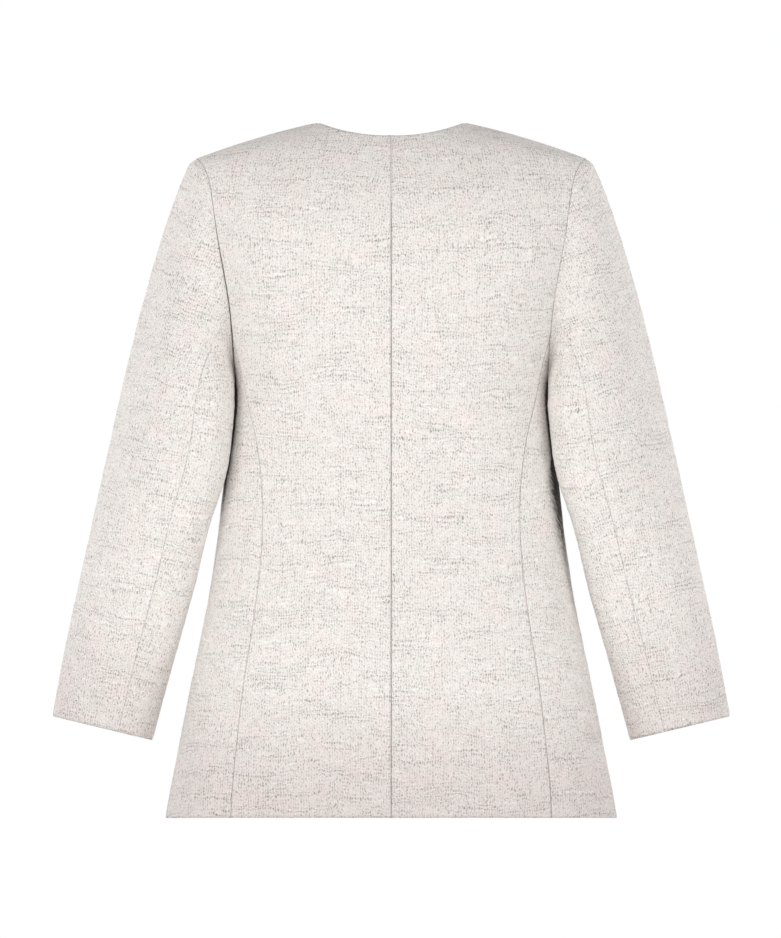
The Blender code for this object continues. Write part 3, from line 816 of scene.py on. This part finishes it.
def tweed_material(look, sizes, weave):
    """Crinkled cream tweed: matt yarns, painted shade in the hollows, painted highlights on the crests
    and faint warm and cool patches, with painted shade near the free edges and between the sleeve and
    the body.
    """
    material = bpy.data.materials.new(TWEED)
    material.use_nodes = True
    tree = material.node_tree
    add = node_maker(tree)
    work = calculator(add)
    shader = tree.nodes["Principled BSDF"]
    cut = add("UVMap", {"uv_map": "cut"}).outputs[0]
    yarns = add("Group", {"node_tree": weave}, Cut=cut,
                Warp_pitch=look.warp_pitch, Weft_pitch=look.weft_pitch)
    seam, stitch, fold, shade = (add("Attribute", {"attribute_name": name}).outputs["Fac"]
                                 for name in POINT_VALUES)
    tints = add("SeparateColor", Color=stretched_noise(add, cut, TINT_PATCH)["Color"])

    def blend(share, first, second, how="MIX"):
        mix = add("Mix", {"data_type": "RGBA", "blend_type": how})
        for socket, value in ((mix.inputs[0], share), (mix.inputs[6], first), (mix.inputs[7], second)):
            if isinstance(value, bpy.types.NodeSocket):
                tree.links.new(value, socket)
            else:
                socket.default_value = value
        return mix.outputs[2]

    colour = blend(eased(add, tints.outputs[0], ROSE_LEVELS), look.cream, look.rose)
    colour = blend(eased(add, tints.outputs[1], SAGE_LEVELS), colour, look.sage)
    # Painted highlights on the raised rows and bright specks
    colour = blend(yarns.outputs["Ridge"], colour, look.crest_highlight)
    line = work("MULTIPLY", eased(add, seam, (sizes.seam_line, 0.0)), stitch)
    broken = work("MULTIPLY_ADD", yarns.outputs["Strand"], LINE_BREAK, 1 - LINE_BREAK)
    line = work("MULTIPLY", line, broken)
    dark = work("MAXIMUM", yarns.outputs["Hollow"], line, clamp=True)
    # Painted shade in the weave's hollows, and the dark seam lines
    colour = blend(dark, colour, look.hollow)
    # Painted shade near the free edges, darker and pinker at the hem, the cuffs and the neckline
    colour = blend(fold, colour, look.edge_shade_tint, "MULTIPLY")
    streaks = work("MULTIPLY_ADD", yarns.outputs["Strand"], -SHADE_STREAK, SHADE_DEPTH)
    depth = work("MULTIPLY", work("MULTIPLY", shade, SHADE_STRENGTH, clamp=True), streaks, clamp=True)
    tree.links.new(blend(depth, colour, look.deep), shader.inputs["Base Color"])

    shader.inputs["Roughness"].default_value = look.roughness
    shader.inputs["Specular IOR Level"].default_value = look.gloss
    shader.inputs["Sheen Weight"].default_value = look.sheen
    shader.inputs["Sheen Roughness"].default_value = look.sheen_roughness
    bump = add("Bump", Strength=1.0, Distance=look.yarn_height, Height=yarns.outputs["Height"])
    tree.links.new(bump.outputs[0], shader.inputs["Normal"])
    return material


def tweed(context):
    """The jacket's cloth, made once."""
    found = bpy.data.materials.get(TWEED)
    return found or tweed_material(context.scene.tweed_look, context.scene.cloth_sizes, yarn_group())


def sort_borders(piece, node, kind):
    """The sewn borders of a piece with how dark and wide their lines are, and its free borders.

    The fronts lap without being sewn, so the other front doesn't count.
    """
    apart = FRONT.name if kind is FRONT else None
    others, owners = joined_tree([name for name in frame["nodes"]
                                  if name != node and name.rsplit("_", 1)[0] != apart])
    sewn, lines, free = [], [], []
    for point in border_points(piece.data):
        index = others.find_nearest(point, JOIN_REACH)[2]
        if index is None:
            free.append(point)
        else:
            sewn.append(point)
            lines.append(line_at(node, owners[index], point.z))
    return tree_of(sewn), lines, tree_of(free) if free else None


def make_piece(context, kind, hand):
    """One finished piece of the jacket in place of its wall of cloth."""
    sizes = context.scene.cloth_sizes
    node = node_of(kind, hand)
    skin = outer_skin(node, kind)
    hold_corners(skin)
    piece = new_object(piece_of(kind, hand), skin)
    unfold(piece)
    shift = kind.cloth_shift + (RIGHT_SHIFT if hand == "right" else 0.0)
    flat, area = lay_on_grain(piece, kind, shift)
    smooth_out(piece, kind)
    shape_surface(piece, kind, hand, sort_borders(piece, node, kind), sizes)
    thicken(piece, sizes)
    piece.data.materials.clear()
    piece.data.materials.append(tweed(context))
    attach(piece, BODY)
    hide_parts(node)
    return piece


class PieceOperator:
    """What the operators of all kinds of pieces share."""

    bl_options = {"REGISTER", "UNDO"}
    kind = None

    def execute(self, context):
        for hand in HANDS:
            piece = make_piece(context, self.kind, hand)
            print(piece.name, len(piece.data.polygons), "faces")
        return {"FINISHED"}


class JACKET_OT_backs(PieceOperator, bpy.types.Operator):
    """Make the two centre backs."""

    bl_idname = "jacket.backs"
    bl_label = "Centre backs"
    kind = BACK


class JACKET_OT_side_backs(PieceOperator, bpy.types.Operator):
    """Make the two side backs."""

    bl_idname = "jacket.side_backs"
    bl_label = "Side backs"
    kind = SIDE_BACK


class JACKET_OT_fronts(PieceOperator, bpy.types.Operator):
    """Make the two fronts."""

    bl_idname = "jacket.fronts"
    bl_label = "Fronts"
    kind = FRONT


class JACKET_OT_top_sleeves(PieceOperator, bpy.types.Operator):
    """Make the two top sleeves."""

    bl_idname = "jacket.top_sleeves"
    bl_label = "Top sleeves"
    kind = TOP_SLEEVE


class JACKET_OT_under_sleeves(PieceOperator, bpy.types.Operator):
    """Make the two under sleeves."""

    bl_idname = "jacket.under_sleeves"
    bl_label = "Under sleeves"
    kind = UNDER_SLEEVE


def add_light(name, place, size, power):
    """A square soft light at a place, turned to the middle of the jacket."""
    data = bpy.data.lights.new(name, "AREA")
    data.shape = "SQUARE"
    data.size = size
    data.energy = power
    light = bpy.data.objects.new(name, data)
    light.location = place
    towards = Vector((0.0, 0.0, CENTRE_Z)) - Vector(place)
    light.rotation_euler = towards.to_track_quat("-Z", "Y").to_euler()
    bpy.context.scene.collection.objects.link(light)


class JACKET_OT_studio(bpy.types.Operator):
    """Make the floor, the light and the camera."""

    bl_idname = "jacket.studio"
    bl_label = "Studio"
    bl_options = {"REGISTER", "UNDO"}

    def execute(self, context):
        look = context.scene.studio_look
        scene = context.scene
        shape = bmesh.new()
        bmesh.ops.create_grid(shape, x_segments=1, y_segments=1, size=look.floor_size / 2)
        bmesh.ops.translate(shape, verts=shape.verts[:], vec=(0.0, 0.0, look.floor_level))
        floor = new_object("studio_floor", shape)
        paint = bpy.data.materials.new("studio_floor")
        paint.use_nodes = True
        shader = paint.node_tree.nodes["Principled BSDF"]
        shader.inputs["Base Color"].default_value = look.floor_colour
        shader.inputs["Roughness"].default_value = look.floor_roughness
        floor.data.materials.append(paint)

        world = bpy.data.worlds.new("studio")
        world.use_nodes = True
        scene.world = world
        add = node_maker(world.node_tree)
        seen = add("LightPath").outputs["Is Camera Ray"]
        light = world.node_tree.nodes["Background"]
        tint = add("Mix", {"data_type": "RGBA"}, i0=seen, i6=look.ambient_tint, i7=WHITE)
        world.node_tree.links.new(tint.outputs[2], light.inputs["Color"])
        above = add("SeparateXYZ", Vector=add("TexCoord").outputs["Generated"]).outputs["Z"]
        sky = add("MapRange", Value=above)
        sky.inputs["To Min"].default_value = look.ambient
        sky.inputs["To Max"].default_value = look.ambient * look.overhead
        strength = add("Mix", {"data_type": "FLOAT"}, i0=seen, i2=sky.outputs[0], i3=1.0)
        world.node_tree.links.new(strength.outputs[0], light.inputs["Strength"])

        for name, (aside, power) in LIGHTS.items():
            add_light("light_back_" + name, (aside, LIGHT_AWAY, LIGHT_LEVEL), look.light_size, power)
            add_light("light_front_" + name, (-aside, -LIGHT_AWAY, LIGHT_LEVEL), look.light_size, power)

        camera_data = bpy.data.cameras.new("camera")
        camera_data.type = "ORTHO"
        camera_data.ortho_scale = FRAME_HEIGHT * PIXEL
        camera = bpy.data.objects.new("camera", camera_data)
        camera.location = (CENTRE_X, CAMERA_AWAY, CENTRE_Z)
        camera.rotation_euler = (math.radians(90), 0.0, math.radians(180))
        scene.collection.objects.link(camera)
        scene.camera = camera
        scene.view_settings.view_transform = "Standard"
        return {"FINISHED"}


class JACKET_PT_panel(bpy.types.Panel):
    """Panel that lists the jacket's pieces and sizes."""

    bl_idname = "JACKET_PT_panel"
    bl_label = "Suit jacket"
    bl_space_type = "VIEW_3D"
    bl_region_type = "UI"
    bl_category = "Jacket"

    def draw(self, context):
        column = self.layout.column()
        for operator in OPERATORS:
            column.operator(operator.bl_idname)
        for group in (context.scene.cloth_sizes, context.scene.tweed_look, context.scene.studio_look):
            box = self.layout.box()
            for name in group.__annotations__:
                box.prop(group, name)


OPERATORS = (JACKET_OT_backs, JACKET_OT_side_backs, JACKET_OT_fronts, JACKET_OT_top_sleeves,
             JACKET_OT_under_sleeves, JACKET_OT_studio)
GROUPS = (ClothSizes, TweedLook, StudioLook)


def register():
    """Register the classes and hang the settings on the scene."""
    for item in (*GROUPS, *OPERATORS, JACKET_PT_panel):
        bpy.utils.register_class(item)
    bpy.types.Scene.cloth_sizes = PointerProperty(type=ClothSizes)
    bpy.types.Scene.tweed_look = PointerProperty(type=TweedLook)
    bpy.types.Scene.studio_look = PointerProperty(type=StudioLook)


def unregister():
    """Take the settings and the classes away again."""
    del bpy.types.Scene.cloth_sizes
    del bpy.types.Scene.tweed_look
    del bpy.types.Scene.studio_look
    for item in reversed((*GROUPS, *OPERATORS, JACKET_PT_panel)):
        bpy.utils.unregister_class(item)


def main():
    """Make the whole picture."""
    register()
    bpy.ops.jacket.backs()
    bpy.ops.jacket.side_backs()
    bpy.ops.jacket.fronts()
    bpy.ops.jacket.top_sleeves()
    bpy.ops.jacket.under_sleeves()
    bpy.ops.jacket.studio()
    bpy.context.view_layer.update()


if __name__ == "__main__":
    main()
